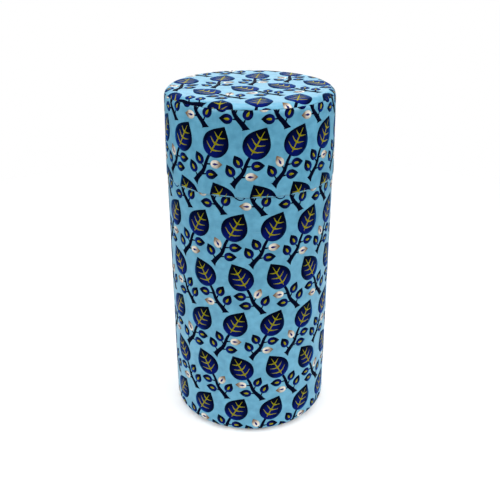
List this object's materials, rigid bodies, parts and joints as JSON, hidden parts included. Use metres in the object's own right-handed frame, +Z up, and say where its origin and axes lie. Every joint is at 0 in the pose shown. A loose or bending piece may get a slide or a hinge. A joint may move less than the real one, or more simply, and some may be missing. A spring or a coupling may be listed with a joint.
{
  "type": "paper-covered lidded tin",
  "caption": "Tall round tea or spice tin covered in leaf-print paper, with a slip-on outer lid over a collar and a knobbed inner lid.",
  "frame": {"origin": "centre of the ring that the tin stands on, at the height of the surface under it", "axes": "+Z up along the tin's axis, towards the lid; -Y towards the picture's front; the print's overlap is at +Y"},
  "size_m": [0.0808, 0.0808, 0.169],
  "materials": {
    "tinplate": "bright tinplate with a fine rolled grain",
    "body_paper": "matt printed mulberry paper, pale blue with navy leaves",
    "lid_side_paper": "matt printed mulberry paper, pale blue with navy leaves",
    "lid_top_paper": "matt printed mulberry paper, pale blue with navy leaves",
    "knob": "turned and polished",
    "rivet_steel": "plain plated steel"
  },
  "bodies": {
    "tin": {"body_shell": "tinplate", "bottom_plate": "tinplate", "neck_sleeve": "tinplate", "body_paper": "body_paper"},
    "outer_lid": {"lid_shell": "tinplate", "lid_top_plate": "tinplate", "lid_side_paper": "lid_side_paper", "lid_top_paper": "lid_top_paper"},
    "inner_lid": {"inner_lid_pan": "tinplate", "inner_lid_knob": "knob", "knob_rivet": "rivet_steel", "knob_washer": "rivet_steel"}
  },
  "joints": [
    {"name": "outer_lid_lift", "type": "slide", "parent": "tin", "child": "outer_lid", "axis": [0, 0, 1], "range_m": [0, 0.09]},
    {"name": "inner_lid_lift", "type": "slide", "parent": "tin", "child": "inner_lid", "axis": [0, 0, 1], "range_m": [0, 0.011]}
  ]
}
